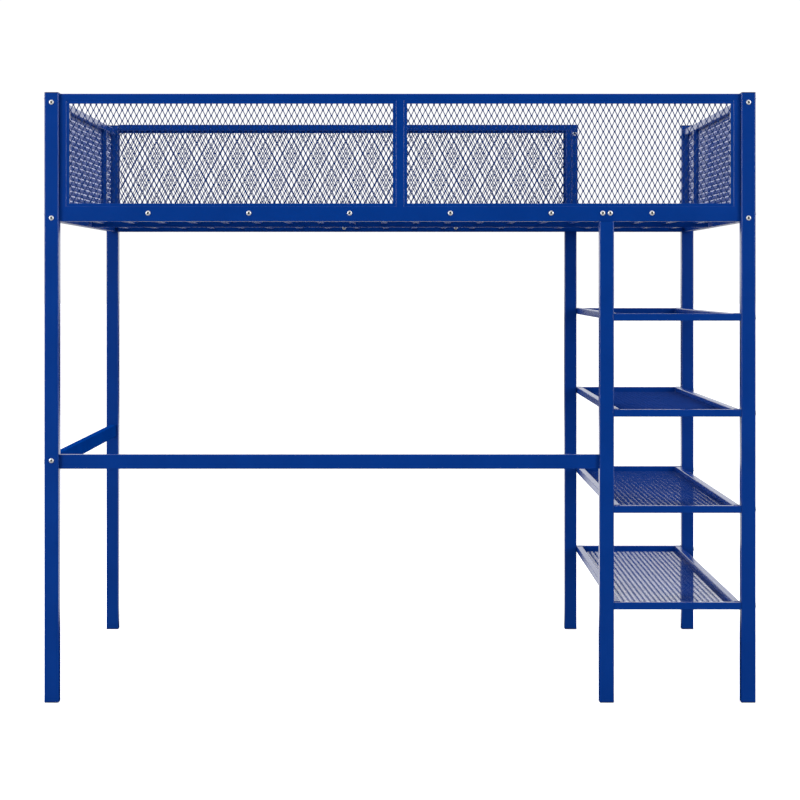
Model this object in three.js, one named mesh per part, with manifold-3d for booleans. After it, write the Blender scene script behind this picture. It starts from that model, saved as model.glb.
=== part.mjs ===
// Steel loft bed with expanded-metal guards and a four-shelf column at one end.
// Millimetres, +Z up. Origin on the floor under the middle of the bed; +X runs along the bed
// to the shelf end and +Y runs to the rear side.
import * as THREE from 'three';
import { mergeVertices } from 'three/addons/utils/BufferGeometryUtils.js';
import Module from 'manifold-3d';

const wasm = await Module();
wasm.setup();

// Overall size and clearances
const LENGTH = 1980;
const WIDTH = 1430;
const HEIGHT = 1700;
const GAP = 0.3;
const OVERSHOOT = 1;

// Square posts, their plastic feet and caps
const POST = 40;
const POST_RADIUS = 3;
const WALL = 1.2;
const FLANGE = 3;
const SPIGOT = 16;
const TAB = 3;
const TAB_TOP = 1370;

// Frame tubes and the strip that holds each mesh sheet
const TUBE = 20;
const TUBE_RADIUS = 2;
const SETBACK = 12;
const PLATE = 3;
const LIP = 8;
const LIP_THICK = 1.5;
const LIP_RECESS = 1;
const SHEET = 1;
const CORNER_STEPS = 2;

// Heights of the platform and the guards
const RAIL_BOTTOM = 1340;
const SIDE_RAIL = 42;
const GUARD_TOP = 1696;
const REAR_GUARD_TOP = 1702;
const END_GUARD_TOP = 1685;
const CENTRE_STILE = 24;
const REAR_GUARD_END = 600;
const END_STILE_OUTER = 443;

// Deck: two welded slat panels
const DECK_RAIL = 30;
const CENTRE_RAIL = 25;
const SLATS_PER_PANEL = 10;
const SLAT_PITCH = 96.4;
const SLAT_HEIGHT = 16;
const SLAT_LIFT = 10;

// Lower bars
const BAR = 40;
const BAR_BOTTOM = 650;

// Shelf column
const SHELF_POST_X = 575.6;
const SHELF_TOPS = [279, 548, 816, 1083];
const SHELF_SETBACK = 1;

// Button-head bolts
const BOLT_RADIUS = 3;
const HOLE_RADIUS = 3.5;
const HEAD_RADIUS = 7;
const HEAD_HEIGHT = 3.6;
const SOCKET_RADIUS = 2.4;
const SOCKET_DEPTH = 2;
const BOLT_SIDES = 12;
const HOLE_SIDES = 8;
const POST_BOLT_LENGTH = 55;
const RAIL_BOLT_LENGTH = 34;
const GUARD_BOLT_LENGTH = 14;
const POST_BOLT_TOP = 1671;
const POST_BOLT_LOW = 1349;
const BAR_BOLT = 674;
const RAIL_BOLT_Z = 1363;
const RAIL_BOLT_XS = [140.5, 421.5, 702.5];
const PAIR_SPACING = 21;
const DECK_BOLT_X = 188;
const DECK_BOLT_Z = 1354;
const GUARD_END_BOLT_X = 589;

// Places worked out from the sizes above
const postX = (LENGTH - POST) / 2;
const postY = (WIDTH - POST) / 2;
const innerX = LENGTH / 2 - POST - GAP;
const innerY = WIDTH / 2 - POST - GAP;
const guardFaceY = WIDTH / 2 - SETBACK;
const guardFaceX = LENGTH / 2 - SETBACK;
const tabY = guardFaceY - TUBE - GAP;
const deckFaceY = tabY - TAB - GAP;

// How far a tube's bore runs past its end: OPEN leaves a free end, PLATED closes it with a
// welded plate, JOINED stops level with the middle of the tube that it is welded into.
const OPEN = OVERSHOOT;
const PLATED = -PLATE;
const JOINED = 0;

const paint = (name) => {
  const material = new THREE.MeshStandardMaterial({ color: 0x013a8c, roughness: 0.35, metalness: 0 });
  material.name = name;
  return material;
};
const FINISHES = {
  paint: () => paint('blue_paint'),
  mesh: () => paint('blue_mesh'),
  plastic: () => new THREE.MeshStandardMaterial({ color: 0x012f78, roughness: 0.6, metalness: 0 }),
  zinc: () => new THREE.MeshStandardMaterial({ color: 0xc4c8cc, roughness: 0.3, metalness: 1 }),
};

// ---- Solids ----

function solid(geometry) {
  geometry.deleteAttribute('normal');
  geometry.deleteAttribute('uv');
  const merged = mergeVertices(geometry, 1e-4);
  const corners = merged.index.array;
  const triangles = [];
  for (let i = 0; i < corners.length; i += 3) {
    const [a, b, c] = corners.slice(i, i + 3);
    const flat = a === b || b === c || c === a;
    if (!flat) triangles.push(a, b, c);
  }
  return new wasm.Manifold(new wasm.Mesh({
    numProp: 3,
    vertProperties: new Float32Array(merged.attributes.position.array),
    triVerts: new Uint32Array(triangles),
  }));
}

function toGeometry(body) {
  const mesh = body.getMesh();
  const geometry = new THREE.BufferGeometry();
  geometry.setAttribute('position', new THREE.BufferAttribute(mesh.vertProperties, 3));
  geometry.setIndex(new THREE.BufferAttribute(mesh.triVerts, 1));
  geometry.computeVertexNormals();
  return geometry;
}

function box(min, max) {
  const geometry = new THREE.BoxGeometry(max[0] - min[0], max[1] - min[1], max[2] - min[2]);
  geometry.translate((min[0] + max[0]) / 2, (min[1] + max[1]) / 2, (min[2] + max[2]) / 2);
  return solid(geometry);
}

// The two directions across a bar that runs along an axis, in right-handed order.
const ACROSS = { 0: [1, 2], 1: [2, 0], 2: [0, 1] };

function alongAxis(geometry, axis, centre) {
  const basis = [[1, 0, 0], [0, 1, 0], [0, 0, 1]].map((unit) => new THREE.Vector3(...unit));
  const [u, v] = ACROSS[axis];
  geometry.applyMatrix4(new THREE.Matrix4().makeBasis(basis[u], basis[v], basis[axis]));
  geometry.translate(...centre);
  return geometry;
}

// A bar with rounded long edges that fills the box from min to max.
function roundedBar(axis, min, max, radius) {
  const [u, v] = ACROSS[axis];
  const halfU = (max[u] - min[u]) / 2;
  const halfV = (max[v] - min[v]) / 2;
  const outline = new THREE.Shape();
  const quarter = Math.PI / 2;
  outline.absarc(halfU - radius, halfV - radius, radius, 0, quarter);
  outline.absarc(radius - halfU, halfV - radius, radius, quarter, 2 * quarter);
  outline.absarc(radius - halfU, radius - halfV, radius, 2 * quarter, 3 * quarter);
  outline.absarc(halfU - radius, radius - halfV, radius, 3 * quarter, 4 * quarter);
  const geometry = new THREE.ExtrudeGeometry(outline, {
    depth: max[axis] - min[axis],
    bevelEnabled: false,
    curveSegments: CORNER_STEPS,
  });
  const centre = min.map((low, i) => (i === axis ? low : (low + max[i]) / 2));
  return solid(alongAxis(geometry, axis, centre));
}

// A round pin or hole that runs along an axis from start, for the given length.
function rod(axis, start, length, radius, sides = HOLE_SIDES) {
  const geometry = new THREE.CylinderGeometry(radius, radius, length, sides);
  geometry.rotateX(Math.PI / 2);
  geometry.translate(0, 0, length / 2);
  return solid(alongAxis(geometry, axis, start));
}

// A tube is its outside and its bore, so that a welded frame can join the outsides first
// and clear every bore afterwards. A radius of zero gives a tube with square edges.
function tube(axis, min, max, ends, radius = TUBE_RADIUS) {
  const low = min.map((value, i) => (i === axis ? value - ends[0] : value + WALL));
  const high = max.map((value, i) => (i === axis ? value + ends[1] : value - WALL));
  const outside = radius > 0 ? roundedBar(axis, min, max, radius) : box(min, max);
  return { outside, bore: box(low, high) };
}

function weld(tubes, fittings = [], holes = []) {
  const outsides = tubes.map((one) => one.outside).concat(fittings);
  const joined = outsides.reduce((all, one) => all.add(one));
  const cuts = tubes.map((one) => one.bore).concat(holes);
  return cuts.reduce((all, one) => all.subtract(one), joined);
}

// ---- Framed mesh panels ----
// A panel stands in its local XZ plane with its outer face at y = 0.

// The narrow strip round a bay that the mesh sheet lies against. The strip on the bay's +x
// side can have another width, and a negative one leaves it out.
function lipRing(bay, farLip = LIP) {
  const [x0, x1, z0, z1] = bay;
  const back = LIP_RECESS + LIP_THICK;
  const rim = box(
    [x0 - WALL / 2, LIP_RECESS, z0 - WALL / 2],
    [x1 + WALL / 2, back, z1 + WALL / 2],
  );
  const opening = box(
    [x0 + LIP, LIP_RECESS - OVERSHOOT, z0 + LIP],
    [x1 - farLip, back + OVERSHOOT, z1 - LIP],
  );
  return rim.subtract(opening);
}

function meshSheet(bay) {
  const [x0, x1, z0, z1] = bay;
  const front = LIP_RECESS + LIP_THICK + GAP;
  return box([x0 + GAP, front, z0 + GAP], [x1 - GAP, front + SHEET, z1 - GAP]);
}

function rail(x0, x1, z0, z1, end) {
  return tube(0, [x0, 0, z0], [x1, TUBE, z1], [end, end]);
}

// An upright tube whose ends reach the middle of the rails above and below it.
function stile(x0, x1, z0, z1) {
  return tube(2, [x0, 0, z0 - TUBE / 2], [x1, TUBE, z1 + TUBE / 2], [JOINED, JOINED]);
}

// The bays left between neighbouring uprights.
function baysBetween(uprights, z0, z1) {
  return uprights.slice(1).map((upright, i) => [uprights[i][1], upright[0], z0, z1]);
}

function frontGuard() {
  const top = GUARD_TOP - RAIL_BOTTOM;
  const uprights = [
    [-innerX, -innerX + TUBE],
    [-CENTRE_STILE / 2, CENTRE_STILE / 2],
    [innerX - TUBE, innerX],
  ];
  const bays = baysBetween(uprights, SIDE_RAIL, top - TUBE);
  const tubes = [
    rail(-innerX, innerX, 0, SIDE_RAIL, OPEN),
    rail(-innerX, innerX, top - TUBE, top, OPEN),
    ...uprights.map(([x0, x1]) => stile(x0, x1, SIDE_RAIL, top - TUBE)),
  ];
  const holeXs = [...RAIL_BOLT_XS, ...RAIL_BOLT_XS.map((x) => -x), ...pairXs()];
  const holes = holeXs.map((x) => railHole(x, RAIL_BOLT_Z - RAIL_BOTTOM));
  return { frame: weld(tubes, bays.map((bay) => lipRing(bay)), holes), bays };
}

// Seen from its own outer side the rear guard runs the other way, so its free end is at -x.
// At its +x end a flat plate takes the place of an upright, and lies against the corner post.
function rearGuard() {
  const top = REAR_GUARD_TOP - RAIL_BOTTOM;
  const strut = [-REAR_GUARD_END, -REAR_GUARD_END + TUBE];
  const uprights = [
    [strut[1], strut[1] + TUBE],
    [-CENTRE_STILE / 2, CENTRE_STILE / 2],
  ];
  const endPlate = box([innerX - PLATE, 0, 0], [innerX, TUBE, top]);
  const edges = [...uprights, [innerX - PLATE, innerX]];
  const bays = baysBetween(edges, SIDE_RAIL, top - TUBE);
  const tubes = [
    tube(0, [-innerX, 0, 0], [innerX, TUBE, SIDE_RAIL], [OPEN, PLATED]),
    tube(0, [strut[0], 0, top - TUBE], [innerX, TUBE, top], [OPEN, PLATED]),
    ...[strut, ...uprights].map(([x0, x1]) => stile(x0, x1, SIDE_RAIL, top - TUBE)),
  ];
  const holes = [
    innerWallHole(-GUARD_END_BOLT_X, POST_BOLT_TOP - RAIL_BOTTOM),
    ...[-DECK_BOLT_X, DECK_BOLT_X].map((x) => innerWallHole(x, DECK_BOLT_Z - RAIL_BOTTOM)),
    ...pairXs().map((x) => railHole(-x, RAIL_BOLT_Z - RAIL_BOTTOM)),
  ];
  const lips = [lipRing(bays[0]), lipRing(bays[1], -WALL)];
  return { frame: weld(tubes, [...lips, endPlate], holes), bays };
}

// The end guards close both ends of the platform; their two rails are plated at the ends
// and bolted through the posts.
function endGuard() {
  const top = END_GUARD_TOP - RAIL_BOTTOM;
  const uprights = [-END_STILE_OUTER, END_STILE_OUTER - TUBE].map((x) => [x, x + TUBE]);
  const edges = [[-innerY, -innerY], ...uprights, [innerY, innerY]];
  const bays = baysBetween(edges, TUBE, top - TUBE);
  const tubes = [
    rail(-innerY, innerY, 0, TUBE, PLATED),
    rail(-innerY, innerY, top - TUBE, top, PLATED),
    ...uprights.map(([x0, x1]) => stile(x0, x1, TUBE, top - TUBE)),
  ];
  const offset = guardFaceX - postX;
  const holes = [POST_BOLT_LOW, POST_BOLT_TOP].map((z) => (
    rod(0, [-innerY - OVERSHOOT, offset, z - RAIL_BOTTOM], 2 * (innerY + OVERSHOOT), HOLE_RADIUS)
  ));
  const inset = bays.map(([x0, x1, z0, z1]) => [
    Math.max(x0, WALL - innerY),
    Math.min(x1, innerY - WALL),
    z0,
    z1,
  ]);
  return { frame: weld(tubes, inset.map((bay) => lipRing(bay)), holes), bays: inset };
}

function shelf() {
  const halfX = (innerX - SHELF_POST_X - POST / 2 - GAP) / 2;
  const halfY = WIDTH / 2 - SHELF_SETBACK;
  const uprights = [[-halfX, TUBE - halfX], [halfX - TUBE, halfX]];
  const bays = baysBetween(uprights, TUBE - halfY, halfY - TUBE);
  const tubes = [
    rail(-halfX, halfX, -halfY, TUBE - halfY, OPEN),
    rail(-halfX, halfX, halfY - TUBE, halfY, OPEN),
    ...uprights.map(([x0, x1]) => stile(x0, x1, TUBE - halfY, halfY - TUBE)),
  ];
  return { frame: weld(tubes, bays.map((bay) => lipRing(bay))), bays };
}

// ---- Deck, bars, posts and hardware ----

function pairXs() {
  return [-PAIR_SPACING / 2, PAIR_SPACING / 2].map((offset) => SHELF_POST_X + offset);
}

// A hole through both walls of a panel's tube.
function railHole(x, z) {
  return rod(1, [x, -OVERSHOOT, z], TUBE + 2 * OVERSHOOT, HOLE_RADIUS);
}

// A hole through only the inner wall of a panel's tube.
function innerWallHole(x, z) {
  return rod(1, [x, TUBE - 2 * WALL, z], 2 * WALL + OVERSHOOT, HOLE_RADIUS);
}

// One half of the deck, from the middle of the bed (x = 0) towards +x. The slats and the three
// long rails have square edges. The rail bolts enter only the outer wall of a side rail and the
// deck bolts go through both walls.
function slatPanel() {
  const longRails = [-deckFaceY, -CENTRE_RAIL / 2, deckFaceY - TUBE];
  const tubes = longRails.map((y) => {
    const width = y === -CENTRE_RAIL / 2 ? CENTRE_RAIL : TUBE;
    return tube(0, [GAP, y, 0], [innerX, y + width, DECK_RAIL], [OPEN, OPEN], 0);
  });
  for (let n = 0; n < SLATS_PER_PANEL; n += 1) {
    const x = (n + 0.5) * SLAT_PITCH;
    const reach = deckFaceY - TUBE / 2;
    tubes.push(tube(
      1,
      [x - TUBE / 2, -reach, SLAT_LIFT],
      [x + TUBE / 2, reach, SLAT_LIFT + SLAT_HEIGHT],
      [JOINED, JOINED],
      0,
    ));
  }
  const holes = [];
  for (const side of [-1, 1]) {
    const wallY = side * (deckFaceY - WALL / 2);
    for (const x of [...RAIL_BOLT_XS, ...pairXs()]) {
      const start = [x, wallY - WALL, RAIL_BOLT_Z - RAIL_BOTTOM];
      holes.push(rod(1, start, 2 * WALL, HOLE_RADIUS));
    }
    const deckStart = [DECK_BOLT_X, side * (deckFaceY - TUBE / 2) - TUBE, DECK_BOLT_Z - RAIL_BOTTOM];
    holes.push(rod(1, deckStart, 2 * TUBE, HOLE_RADIUS));
  }
  return weld(tubes, [], holes);
}

// A post stands on the floor plug's flange; its bore is open at the foot.
function postTube(top, topEnd) {
  const half = POST / 2;
  const low = FLANGE + GAP;
  return tube(2, [-half, -half, low], [half, half, top], [OPEN, topEnd], POST_RADIUS);
}

function cornerPost(boltHeights) {
  const holes = boltHeights.map((z) => (
    rod(1, [0, -POST / 2 - OVERSHOOT, z], POST + 2 * OVERSHOOT, HOLE_RADIUS)
  ));
  return weld([postTube(HEIGHT - FLANGE - GAP, OPEN)], [], holes);
}

// A shelf post ends in a plate under the side rail, with an upright tab behind the rail.
// The tab stands towards +y, the inside of the bed.
function shelfPost() {
  const top = RAIL_BOTTOM - GAP;
  const half = POST / 2;
  const tabFace = postY - tabY;
  const tab = box([-half, tabFace, top - PLATE / 2], [half, tabFace + TAB, TAB_TOP]);
  const holes = [-PAIR_SPACING / 2, PAIR_SPACING / 2].map((x) => (
    rod(1, [x, tabFace - OVERSHOOT, RAIL_BOLT_Z], TAB + 2 * OVERSHOOT, HOLE_RADIUS)
  ));
  return weld([postTube(top, PLATED)], [tab], holes);
}

// A plastic plug: a square flange with a spigot that fits inside the post.
function endPlug() {
  const half = POST / 2;
  const reach = half - WALL - GAP;
  const flange = roundedBar(2, [-half, -half, 0], [half, half, FLANGE], POST_RADIUS);
  const spigot = box([-reach, -reach, FLANGE / 2], [reach, reach, FLANGE + SPIGOT]);
  return flange.add(spigot);
}

// A bar between two posts, plated at its ends, centred on x = 0 with its outer face at y = 0.
function lowerBar(halfLength, boltHole) {
  const holes = boltHole.map(([y, z]) => (
    rod(0, [-halfLength - OVERSHOOT, y, z], 2 * (halfLength + OVERSHOOT), HOLE_RADIUS)
  ));
  return weld([rail(-halfLength, halfLength, 0, BAR, PLATED)], [], holes);
}

// Head towards -y, shank towards +y, underside of the head at y = -GAP.
function bolt(length) {
  const head = HEAD_HEIGHT + GAP;
  const profile = [
    [0, length],
    [BOLT_RADIUS, length],
    [BOLT_RADIUS, -GAP],
    [HEAD_RADIUS, -GAP],
    [HEAD_RADIUS, -GAP - 1],
    [HEAD_RADIUS * 0.8, GAP - HEAD_HEIGHT + 0.2],
    [HEAD_RADIUS * 0.55, -head],
    [0, -head],
  ].map(([radius, y]) => new THREE.Vector2(radius, y));
  const body = solid(new THREE.LatheGeometry(profile.reverse(), BOLT_SIDES));
  const hexagon = 6;
  const socket = rod(1, [0, -head - OVERSHOOT, 0], SOCKET_DEPTH + OVERSHOOT, SOCKET_RADIUS, hexagon);
  return body.subtract(socket);
}

// ---- Assembly ----

const bed = new THREE.Group();

function place(name, body, finish, position, turn = [0, 0, 0], parent = bed) {
  const mesh = new THREE.Mesh(toGeometry(body), FINISHES[finish]());
  mesh.name = name;
  mesh.position.set(...position);
  mesh.rotation.set(...turn);
  parent.add(mesh);
  return mesh;
}

// A panel's frame and its mesh sheets share one group.
function placePanel(names, panel, position, turn) {
  const group = new THREE.Group();
  group.position.set(...position);
  group.rotation.set(...turn);
  bed.add(group);
  place(names.frame, panel.frame, 'paint', [0, 0, 0], [0, 0, 0], group);
  panel.bays.forEach((bay, i) => {
    place(names.sheets[i], meshSheet(bay), 'mesh', [0, 0, 0], [0, 0, 0], group);
  });
}

const HALF_TURN = Math.PI;
const QUARTER_TURN = Math.PI / 2;

function addPosts() {
  for (const [side, y] of [['front', -postY], ['rear', postY]]) {
    for (const [end, x] of [['left', -postX], ['right', postX]]) {
      const heights = [POST_BOLT_LOW, POST_BOLT_TOP];
      if (end === 'left') heights.push(BAR_BOLT);
      place(`post_${side}_${end}`, cornerPost(heights), 'paint', [x, y, 0]);
      place(`foot_plug_${side}_${end}`, endPlug(), 'plastic', [x, y, 0]);
      place(`top_cap_${side}_${end}`, endPlug(), 'plastic', [x, y, HEIGHT], [HALF_TURN, 0, 0]);
    }
    const turn = side === 'front' ? 0 : HALF_TURN;
    place(`shelf_post_${side}`, shelfPost(), 'paint', [SHELF_POST_X, y, 0], [0, 0, turn]);
    place(`foot_plug_${side}_shelf`, endPlug(), 'plastic', [SHELF_POST_X, y, 0]);
  }
}

function addGuards() {
  placePanel(
    { frame: 'front_guard_frame', sheets: ['front_mesh_left', 'front_mesh_right'] },
    frontGuard(),
    [0, -guardFaceY, RAIL_BOTTOM],
    [0, 0, 0],
  );
  placePanel(
    { frame: 'rear_guard_frame', sheets: ['rear_mesh_right', 'rear_mesh_left'] },
    rearGuard(),
    [0, guardFaceY, RAIL_BOTTOM],
    [0, 0, HALF_TURN],
  );
  for (const [end, side] of [['left', -1], ['right', 1]]) {
    const bayNames = side < 0 ? ['rear', 'middle', 'front'] : ['front', 'middle', 'rear'];
    placePanel(
      { frame: `${end}_guard_frame`, sheets: bayNames.map((bay) => `${end}_mesh_${bay}`) },
      endGuard(),
      [side * guardFaceX, 0, RAIL_BOTTOM],
      [0, 0, side * QUARTER_TURN],
    );
  }
}

function addDeck() {
  place('slat_panel_right', slatPanel(), 'paint', [0, 0, RAIL_BOTTOM]);
  place('slat_panel_left', slatPanel(), 'paint', [0, 0, RAIL_BOTTOM], [0, 0, HALF_TURN]);
}

function addLowerBars() {
  const shelfPostFace = SHELF_POST_X - POST / 2 - GAP;
  const middle = (shelfPostFace - innerX) / 2;
  const frontBar = lowerBar((shelfPostFace + innerX) / 2, [[TUBE / 2, BAR / 2]]);
  place('front_lower_bar', frontBar, 'paint', [middle, -guardFaceY, BAR_BOTTOM]);
  const endHole = [guardFaceX - postX, BAR_BOLT - BAR_BOTTOM];
  const endBar = lowerBar(innerY, [endHole]);
  const endPosition = [-guardFaceX, 0, BAR_BOTTOM];
  place('left_lower_bar', endBar, 'paint', endPosition, [0, 0, -QUARTER_TURN]);
}

function addShelves() {
  const middle = (innerX + SHELF_POST_X + POST / 2 + GAP) / 2;
  SHELF_TOPS.forEach((top, i) => {
    placePanel(
      { frame: `shelf_frame_${i + 1}`, sheets: [`shelf_mesh_${i + 1}`] },
      shelf(),
      [middle, 0, top - TUBE],
      [QUARTER_TURN, 0, 0],
    );
  });
}

function addBolts() {
  const faceY = -WIDTH / 2;
  for (const [end, side] of [['left', -1], ['right', 1]]) {
    const x = side * postX;
    place(`post_bolt_${end}_top`, bolt(POST_BOLT_LENGTH), 'zinc', [x, faceY, POST_BOLT_TOP]);
    place(`post_bolt_${end}_low`, bolt(POST_BOLT_LENGTH), 'zinc', [x, faceY, POST_BOLT_LOW]);
    RAIL_BOLT_XS.forEach((distance, i) => {
      const position = [side * distance, -guardFaceY, RAIL_BOLT_Z];
      place(`rail_bolt_${end}_${i + 1}`, bolt(RAIL_BOLT_LENGTH), 'zinc', position);
    });
    const deckPosition = [side * DECK_BOLT_X, deckFaceY - TUBE, DECK_BOLT_Z];
    place(`deck_bolt_${end}`, bolt(RAIL_BOLT_LENGTH), 'zinc', deckPosition);
  }
  for (const [end, side] of [['left', -1], ['right', 1]]) {
    const position = [side * postX, -faceY, POST_BOLT_TOP];
    const name = `post_bolt_${end}_rear`;
    place(name, bolt(POST_BOLT_LENGTH), 'zinc', position, [0, 0, HALF_TURN]);
  }
  place('lower_bar_bolt', bolt(POST_BOLT_LENGTH), 'zinc', [-postX, faceY, BAR_BOLT]);
  pairXs().forEach((x, i) => {
    const position = [x, -guardFaceY, RAIL_BOLT_Z];
    place(`shelf_post_bolt_${i + 1}`, bolt(RAIL_BOLT_LENGTH), 'zinc', position);
  });
  const strutPosition = [GUARD_END_BOLT_X, guardFaceY - TUBE, POST_BOLT_TOP];
  place('rear_guard_bolt', bolt(GUARD_BOLT_LENGTH), 'zinc', strutPosition);
}

addPosts();
addGuards();
addDeck();
addLowerBars();
addShelves();
addBolts();

export default bed;
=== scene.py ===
import math

import bmesh
import bpy
import numpy as np
from mathutils import Matrix, Vector


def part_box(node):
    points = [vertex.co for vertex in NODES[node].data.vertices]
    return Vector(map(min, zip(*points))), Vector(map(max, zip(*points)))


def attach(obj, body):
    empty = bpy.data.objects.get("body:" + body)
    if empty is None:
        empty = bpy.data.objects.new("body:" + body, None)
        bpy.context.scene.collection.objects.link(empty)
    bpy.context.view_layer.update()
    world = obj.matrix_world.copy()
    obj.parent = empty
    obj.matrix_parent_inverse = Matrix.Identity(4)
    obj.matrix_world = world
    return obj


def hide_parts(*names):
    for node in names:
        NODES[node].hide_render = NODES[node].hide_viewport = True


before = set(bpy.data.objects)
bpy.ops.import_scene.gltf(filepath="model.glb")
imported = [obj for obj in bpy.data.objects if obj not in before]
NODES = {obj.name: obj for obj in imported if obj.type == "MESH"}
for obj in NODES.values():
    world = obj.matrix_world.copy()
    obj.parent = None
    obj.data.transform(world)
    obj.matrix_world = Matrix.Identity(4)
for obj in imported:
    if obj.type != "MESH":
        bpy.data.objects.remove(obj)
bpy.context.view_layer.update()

SCENE = bpy.context.scene

MM = 0.001

# ---- The bed's sizes, in millimetres, as in the CAD model ----
LENGTH, WIDTH, HEIGHT = 1980, 1430, 1700
GAP = 0.3
POST = 40
POST_RADIUS = 3
WALL = 1.2
LEAST_BORE_RADIUS = 0.4
FLANGE = 3
SPIGOT, SPIGOT_CHAMFER = 16, (1, 2)
TUBE = 20
TUBE_RADIUS = 2
SETBACK = 12
PLATE, END_PLATE_RADIUS, TAB_RADIUS = 3, 0.6, 1
LIP, LIP_THICK, LIP_RECESS, LIP_RADIUS = 8, 1.5, 1, 0.4
RAIL_BOTTOM = 1340
SIDE_RAIL = 42
GUARD_TOP, REAR_GUARD_TOP, END_GUARD_TOP = 1696, 1702, 1685
CENTRE_STILE = 24
REAR_GUARD_END = 600
END_STILE_OUTER = 443
TAB_TOP = 1370
DECK_RAIL, CENTRE_RAIL = 30, 25
SLATS_PER_PANEL, SLAT_PITCH = 10, 96.4
SLAT_HEIGHT, SLAT_LIFT = 16, 10
BAR, BAR_BOTTOM = 40, 650
SHELF_POST_X = 575.6
SHELF_TOPS = (279, 548, 816, 1083)
SHELF_SETBACK = 1
# The flanges of the plugs, as (inset, height) pairs.
FOOT_PROFILE = [(1.2, 0), (0.35, 0.3), (0, 1), (0, FLANGE - 0.4), (0.4, FLANGE)]
CAP_PROFILE = [(9, 0), (3.2, 0.2), (1.2, 0.6), (0.3, 1.3), (0, 2.0), (0, FLANGE)]

POST_X = (LENGTH - POST) / 2
POST_Y = (WIDTH - POST) / 2
INNER_X = LENGTH / 2 - POST - GAP
INNER_Y = WIDTH / 2 - POST - GAP
GUARD_FACE_X = LENGTH / 2 - SETBACK
GUARD_FACE_Y = WIDTH / 2 - SETBACK
TAB_Y = GUARD_FACE_Y - TUBE - GAP
DECK_FACE_Y = TAB_Y - PLATE - GAP
SHELF_POST_INNER = SHELF_POST_X + POST / 2 + GAP

# ---- Bolts ----
BOLT_RADIUS, HEAD_RADIUS, HEAD_HEIGHT, HEAD_RIM = 3, 7, 3.6, 0.9
SOCKET_ACROSS, SOCKET_DEPTH, DOME_START = 5.6, 2.6, 3.9
SOCKET_TIP, SOCKET_TIP_DEPTH, SOCKET_BEVEL, SOCKET_BEVEL_DEPTH = 0.55, 0.4, 0.5, 0.25
HEAD_BEVEL = 0.3
BOLT_SIDES, DOME_STEPS = 24, 6
# Where the painted shade in the socket ends, as a distance from the middle of the bolt's box, 1
# across.
SOCKET_SHADE_FADE = (0.2, 0.23)
POST_BOLT, RAIL_BOLT, GUARD_BOLT, STUB_BOLT = 55, 34, 14, 16
POST_BOLT_TOP, POST_BOLT_LOW, BAR_BOLT = 1671, 1349, 674
RAIL_BOLT_Z, RAIL_BOLT_XS = 1363, (140.5, 421.5, 702.5)
PAIR_SPACING = 21
DECK_BOLT_X, DECK_BOLT_Z = 188, 1354
GUARD_END_BOLT_X = 589

# ---- Finer shape than the CAD model has ----
CORNER_STEPS = 5
BEAD_RADIUS, BEAD_STEP, BEAD_PITCH, BEAD_RIPPLE = 1.4, 0.7, 2.4, 0.14
BEAD_SIDES, BEAD_END, BEAD_INSET = 8, 0.45, 1
BAR_WELD, BAR_WELD_DROP = 1.5, 0.8
# The width and thickness of a strand of the sheets, and how far it leans out of the sheet.
GUARD_STRAND, SHELF_STRAND = (2.6, 1.2), (2.6, 0.88)
FLAT_TILT, END_TILT, SHELF_TILT = math.radians(2), math.radians(14), math.radians(-4)
DIAMOND_LONG, DIAMOND_SHORT, BOND_HALF = 30, 16, 1.8
# How far inward of the CAD sheet's middle the strands lie.
SHEET_SHIFT = 0.4

# ---- Camera and studio, in metres ----
CAMERA_DISTANCE = 6.56
CAMERA_HEIGHT = 1.171
CAMERA_LENS, SENSOR_WIDTH = 106.1, 36.0
CAMERA_SHIFT = -0.1475
CAMERA_REACH = 200.0
FLOOR_SIZE = 240.0
FLOOR_GLOW, FLOOR_BOUNCE, FLOOR_SPECULAR = 0.6, 0.3, 0.1
# The stretches of Y in which the white that gloss shows of the floor begins and ends.
MIRROR_NEAR, MIRROR_FAR = (0.7, 1.3), (11.0, 15.0)
# The world's light goes from black to white between these, as Y of the direction.
WORLD_DARK_Y, WORLD_WHITE_Y, WORLD_STRENGTH, BACKDROP_STRENGTH = -0.7, 0.05, 1.0, 1.05
SOFTBOX_SIZE, SOFTBOX_X, SOFTBOX_Y, SOFTBOX_Z = (3.0, 3.4), 5.4, -6.0, 2.6
TOP_BOX_SIZE, TOP_BOX_Z = (6.0, 5.0), 5.5
LIGHT_TARGET = (0, 0, 0.9)
LEFT_POWER, RIGHT_POWER, TOP_POWER = 300, 260, 160

# ---- Materials: noise scales are per metre, bump depths in metres ----
COAT_IOR = 1.5
COAT_CLOUDS, COAT_CLOUD_DETAIL, COAT_GRAIN = 9.0, 3.0, 160.0
COAT_RIPPLE, COAT_RIPPLE_DEPTH = 420.0, 0.0002
ZINC_METALLIC, ZINC_ROUGHNESS = 0.5, (0.22, 0.42)
ZINC_COLOURS = (0.9, 0.91, 0.92, 1), (0.97, 0.98, 0.99, 1)
ZINC_PATCHES, ZINC_PATCH_DETAIL, ZINC_SCRATCHES = 240.0, 4.0, 900.0
ZINC_BUMP = (0.0001, 0.3)
# Painted shade: the dark colour laid in a bolt head's hex socket, standing for the shadow in its
# recess.
SOCKET_SHADE_COLOUR = (0.09, 0.09, 0.09, 1)
PLASTIC_COLOURS = (0.001, 0.016, 0.12, 1), (0.002, 0.026, 0.17, 1)
PLASTIC_CLOUDS, PLASTIC_GRAIN, PLASTIC_GRAIN_DETAIL = 30.0, 1400.0, 3.0
PLASTIC_ROUGHNESS, PLASTIC_BUMP = (0.45, 0.65), (0.0001, 0.4)
FLOOR_COLOURS = (0.94, 0.94, 0.94, 1), (0.96, 0.96, 0.96, 1)
FLOOR_CLOUDS, FLOOR_ROUGHNESS = 0.6, (0.75, 0.85)
WHITE = (1, 1, 1, 1)
# Where a colour Mix node keeps its factor and its two colours, and its result.
MIX_FACTOR, MIX_FIRST, MIX_SECOND, MIX_RESULT = 0, 6, 7, 2


# ---- Materials ----

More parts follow.
